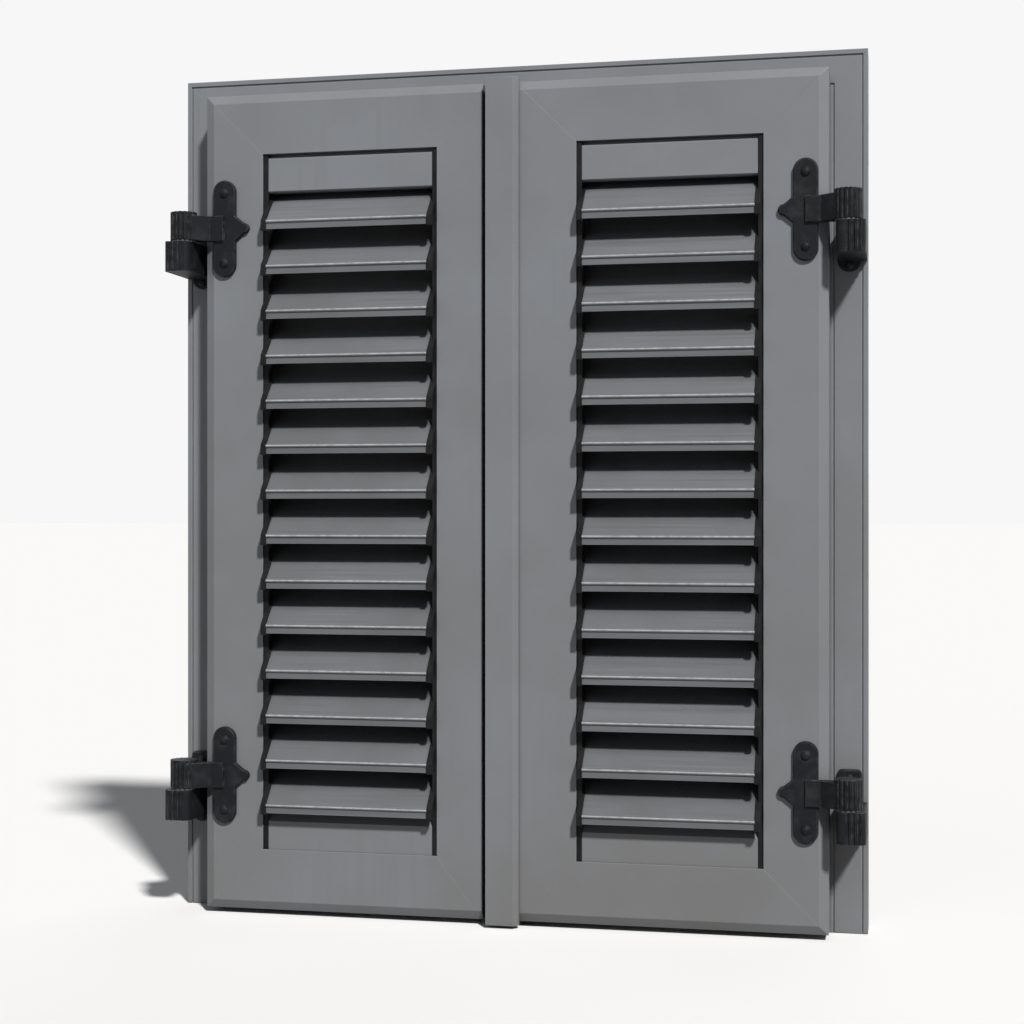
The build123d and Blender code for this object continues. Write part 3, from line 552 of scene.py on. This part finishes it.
def only_selected(piece):
    """One piece is selected, and operators act on it."""
    nothing_selected()
    bpy.context.view_layer.objects.active = piece
    piece.select_set(True)


def select_faces(piece, wanted):
    """Only the faces that the rule wants are selected, in edit mode."""
    bpy.ops.object.mode_set(mode="EDIT")
    bpy.ops.mesh.select_mode(type="FACE")
    bpy.ops.mesh.select_all(action="DESELECT")
    mesh = bmesh.from_edit_mesh(piece.data)
    for face in mesh.faces:
        face.select = wanted(face)
    bmesh.update_edit_mesh(piece.data)


def extrude(way):
    """The selected faces drawn out along a way."""
    bpy.ops.mesh.extrude_region_move(TRANSFORM_OT_translate={"value": way})


def widen(share):
    """The selected faces made wider or narrower about the Z axis."""
    bpy.ops.transform.resize(value=(share, share, 1), center_override=(0, 0, 0))


# Screws with cross recesses, in the places of the plain ones


def model_screw_blank():
    """A screw along +Z without its recess: the shank, and the domed head raised from its top face."""
    nothing_selected()
    bpy.ops.mesh.primitive_cylinder_add(
        vertices=SHANK_SIDES, radius=SHANK_RADIUS, depth=SHANK_LENGTH, location=(0, 0, -SHANK_LENGTH / 2)
    )
    screw = bpy.context.object
    bpy.ops.object.transform_apply(location=True, rotation=False, scale=False)
    select_faces(screw, lambda face: face.normal.z > SQUARE_ON)
    extrude((0, 0, 0))
    widen(HEAD_RADIUS / SHANK_RADIUS)
    width, height = 1.0, 0.0
    for next_width, next_height in HEAD_DOME:
        extrude((0, 0, (next_height - height) * HEAD_HEIGHT))
        widen(next_width / width)
        width, height = next_width, next_height
    bpy.ops.object.mode_set(mode="OBJECT")
    return screw


def cut_recess_arm(screw, turn):
    """One arm of the cross recess, tapered towards its bottom, cut at a turn about the screw's axis."""
    nothing_selected()
    bpy.ops.mesh.primitive_cube_add(
        size=1, location=(0, 0, HEAD_HEIGHT), rotation=(0, 0, radians(turn))
    )
    cutter = bpy.context.object
    cutter.scale = (2 * RECESS_REACH, RECESS_WIDTH, 2 * RECESS_DEPTH)
    bpy.ops.object.transform_apply(location=True, rotation=True, scale=True)
    select_faces(cutter, lambda face: face.normal.z < -SQUARE_ON)
    widen(RECESS_TAPER)
    only_selected(screw)
    cut = screw.modifiers.new("recess", "BOOLEAN")
    cut.operation = "DIFFERENCE"
    cut.object = cutter
    bpy.ops.object.modifier_apply(modifier=cut.name)
    bpy.data.objects.remove(cutter)


def model_pan_screw():
    """One screw along +Z: shank, domed head and cross recess."""
    screw = model_screw_blank()
    for turn in (0, 90):
        cut_recess_arm(screw, turn)
    only_selected(screw)
    bpy.ops.object.shade_smooth_by_angle(angle=radians(SMOOTH_BELOW))
    return screw


def solids_of(node):
    """The corner lists of the separate solids in one CAD node."""
    mesh = bmesh.new()
    mesh.from_mesh(frame["nodes"][node].data)
    bmesh.ops.remove_doubles(mesh, verts=mesh.verts, dist=SAME_CORNER)
    left = set(mesh.verts)
    solids = []
    for first in mesh.verts:
        if first not in left:
            continue
        found = {first}
        newest = [first]
        while newest:
            near = {link.other_vert(corner) for corner in newest for link in corner.link_edges} - found
            found |= near
            newest = list(near)
        left -= found
        solids.append([corner.co.copy() for corner in found])
    mesh.free()
    return solids


def screw_place(corners):
    """A screw's seat and the direction of its head, from its plain solid."""
    low = Vector([min(corner[i] for corner in corners) for i in range(3)])
    high = Vector([max(corner[i] for corner in corners) for i in range(3)])
    size = high - low
    middle = (low + high) / 2
    long_way = max(range(3), key=lambda i: size[i])
    along = Vector([1.0 if i == long_way else 0.0 for i in range(3)])

    def from_axis(corner):
        out = corner - middle
        return (out - along * out.dot(along)).length

    widest = max(corners, key=from_axis)
    head = along if (widest - middle).dot(along) > 0 else -along
    end = middle + head * size[long_way] / 2
    return end - head * HEAD_HEIGHT, head


def place_screws(pattern, node, body, finish):
    """Copies of the modelled screw where the node's plain screws are, joined as one piece."""
    copies = []
    for corners in solids_of(node):
        seat, head = screw_place(corners)
        copy = pattern.copy()
        copy.data = pattern.data.copy()
        bpy.context.collection.objects.link(copy)
        copy.rotation_euler = head.to_track_quat("Z", "Y").to_euler()
        copy.location = seat
        copies.append(copy)
    nothing_selected()
    for copy in copies:
        copy.select_set(True)
    bpy.context.view_layer.objects.active = copies[0]
    bpy.ops.object.join()
    bpy.ops.object.transform_apply(location=True, rotation=True, scale=True)
    screws = bpy.context.object
    screws.name = f"{node}_recessed"
    screws.data.materials.clear()
    screws.data.materials.append(finish)
    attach(screws, body)
    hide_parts(node)


pan_screw = model_pan_screw()
place_screws(pan_screw, "bracket_screws", "frame", gear_black)
place_screws(pan_screw, "keeper_screws", "frame", zinc_plate)
place_screws(pan_screw, "rod_screws", "right_leaf", zinc_plate)
place_screws(pan_screw, "housing_screws", "left_leaf", zinc_plate)
bpy.data.objects.remove(pan_screw)


# Strips with a lip: the carriers beside the slats, and the seal of the joint between the leaves


def corners_of(node):
    """The low and the high corner of a CAD node's box."""
    return [Vector(corner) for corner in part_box(node)]


def model_lipped_strip(name, low, high, cuts, lip_faces, lip_reach):
    """A black strip the size of a box, with a lip drawn sideways out of the faces between its cuts."""
    nothing_selected()
    bpy.ops.mesh.primitive_cube_add(size=1, location=(low + high) / 2)
    strip = bpy.context.object
    strip.name = name
    strip.scale = high - low
    bpy.ops.object.transform_apply(location=True, rotation=True, scale=True)
    bpy.ops.object.mode_set(mode="EDIT")
    for cut in cuts:
        bpy.ops.mesh.select_all(action="SELECT")
        bpy.ops.mesh.bisect(plane_co=(0, cut, 0), plane_no=(0, 1, 0))
    select_faces(strip, lip_faces)
    extrude((lip_reach, 0, 0))
    bpy.ops.object.mode_set(mode="OBJECT")
    rounding = strip.modifiers.new("rounding", "BEVEL")
    rounding.width = LIP_ROUND
    rounding.segments = LIP_ROUND_STEPS
    bpy.ops.object.modifier_apply(modifier=rounding.name)
    strip.data.materials.append(clip_black)
    return strip


def model_carrier(side, end):
    """One leaf's inner or outer carrier strip, with a lip along its front towards the slats."""
    node = f"{side}_{end}_carrier"
    low, high = corners_of(node)
    slats_low, slats_high = corners_of(f"{side}_slats")
    towards_slats = 1 if slats_low.x + slats_high.x > low.x + high.x else -1
    lip_back = low.y + LIP_DEPTH
    carrier = model_lipped_strip(
        f"{node}_lipped", low, high, [lip_back],
        lambda face: face.normal.x * towards_slats > SQUARE_ON and face.calc_center_median().y < lip_back,
        towards_slats * LIP_WIDTH,
    )
    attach(carrier, f"{side}_leaf")
    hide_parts(node)


def model_joint_seal():
    """The seal along the left leaf's meeting edge, which shuts out daylight behind the cover strip."""
    stile_low, stile_high = corners_of("left_meeting_stile")
    strip_low, strip_high = corners_of("cover_strip")
    lip_front = strip_high.y + SEAL_PLAY
    lip_back = lip_front + SEAL_LIP_THICKNESS
    middle = (lip_front + lip_back) / 2
    foot_front, foot_back = middle - SEAL_FOOT_DEPTH / 2, middle + SEAL_FOOT_DEPTH / 2
    low = Vector((stile_high.x - SEAL_GROOVE, foot_front, stile_low.z + SEAL_END_GAP))
    high = Vector((stile_high.x + SEAL_FOOT_WIDTH, foot_back, stile_high.z - SEAL_END_GAP))
    seal = model_lipped_strip(
        "joint_seal", low, high, [lip_front, lip_back],
        lambda face: face.normal.x > SQUARE_ON and lip_front < face.calc_center_median().y < lip_back,
        strip_low.x + SEAL_OVERLAP - high.x,
    )
    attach(seal, "left_leaf")


for side in ("left", "right"):
    for end in ("inner", "outer"):
        model_carrier(side, end)
model_joint_seal()


# Floor, background and light


def seen_directly(tree, rays):
    """1 for what the camera sees, straight or in a reflection."""
    return larger(tree, rays.outputs["Is Camera Ray"], rays.outputs["Is Glossy Ray"])


def build_floor():
    """A plain pale floor that keeps the shadow and throws little light back."""
    nothing_selected()
    bpy.ops.mesh.primitive_plane_add(size=FLOOR_SIZE, location=(0, 0, -FLOOR_BELOW_FOOT))
    floor = bpy.context.object
    floor.name = "floor"
    material = bpy.data.materials.new("pale_floor")
    material.use_nodes = True
    tree = material.node_tree
    shader = tree.nodes["Principled BSDF"]
    shader.inputs["Roughness"].default_value = FLOOR_ROUGHNESS
    shader.inputs["Specular IOR Level"].default_value = 0.0
    seen = seen_directly(tree, tree.nodes.new("ShaderNodeLightPath"))
    tone = tree.nodes.new("ShaderNodeMix")
    tone.data_type = "RGBA"
    tone.inputs["A"].default_value = (*FLOOR_BOUNCE, 1)
    tone.inputs["B"].default_value = (*FLOOR_SEEN, 1)
    tree.links.new(seen, tone.inputs["Factor"])
    tree.links.new(tone.outputs["Result"], shader.inputs["Base Color"])
    floor.data.materials.append(material)


def add_glow(tree, colour, strength):
    """A plain light of one colour for the background."""
    glow = tree.nodes.new("ShaderNodeBackground")
    glow.inputs["Strength"].default_value = strength
    glow.inputs["Color"].default_value = (*colour, 1)
    return glow.outputs["Background"]


def build_background():
    """White to look at and in reflections, and a low even light on the object."""
    world = bpy.data.worlds.new("white_background")
    bpy.context.scene.world = world
    world.use_nodes = True
    tree = world.node_tree
    tree.nodes.clear()
    rays = tree.nodes.new("ShaderNodeLightPath")
    seen = larger(tree, seen_directly(tree, rays), rays.outputs["Is Transmission Ray"])
    choice = tree.nodes.new("ShaderNodeMixShader")
    end = tree.nodes.new("ShaderNodeOutputWorld")
    tree.links.new(seen, choice.inputs["Fac"])
    tree.links.new(add_glow(tree, EVEN_LIGHT_COLOUR, EVEN_LIGHT), choice.inputs[1])
    tree.links.new(add_glow(tree, (BACKGROUND, BACKGROUND, BACKGROUND), 1.0), choice.inputs[2])
    tree.links.new(choice.outputs["Shader"], end.inputs["Surface"])


def add_lamp(name, come_from, strength, width, colour):
    """A distant lamp, from a bearing right of straight on and a height, in degrees."""
    turn, lift = (radians(angle) for angle in come_from)
    direction = Vector((sin(turn) * cos(lift), -cos(turn) * cos(lift), sin(lift)))
    lamp = bpy.data.lights.new(name, "SUN")
    lamp.energy = strength
    lamp.angle = radians(width)
    lamp.color = colour
    holder = bpy.data.objects.new(name, lamp)
    bpy.context.collection.objects.link(holder)
    holder.location = direction * LAMP_DISTANCE
    holder.rotation_euler = direction.to_track_quat("Z", "Y").to_euler()


def build_lights():
    """A key light from the upper right, a wide fill from the front left and a wide one from behind."""
    add_lamp("key", KEY_FROM, KEY_STRENGTH, KEY_WIDTH, KEY_COLOUR)
    add_lamp("front_fill", FRONT_FILL_FROM, FRONT_FILL_STRENGTH, FILL_WIDTH, FRONT_FILL_COLOUR)
    add_lamp("back_fill", BACK_FILL_FROM, BACK_FILL_STRENGTH, FILL_WIDTH, BACK_FILL_COLOUR)


def build_camera():
    """The camera, level and turned to the left, where the picture was taken from."""
    lens = bpy.data.cameras.new("camera")
    lens.sensor_width = CAMERA_FILM_WIDTH
    lens.lens = CAMERA_LENS
    lens.shift_y = CAMERA_SHIFT
    lens.clip_start = CAMERA_NEAREST
    camera = bpy.data.objects.new("camera", lens)
    bpy.context.collection.objects.link(camera)
    camera.location = CAMERA_PLACE
    camera.rotation_euler = (pi / 2, 0, radians(CAMERA_TURN))
    bpy.context.scene.camera = camera


build_floor()
build_background()
build_lights()
build_camera()
bpy.context.scene.view_settings.view_transform = "Standard"
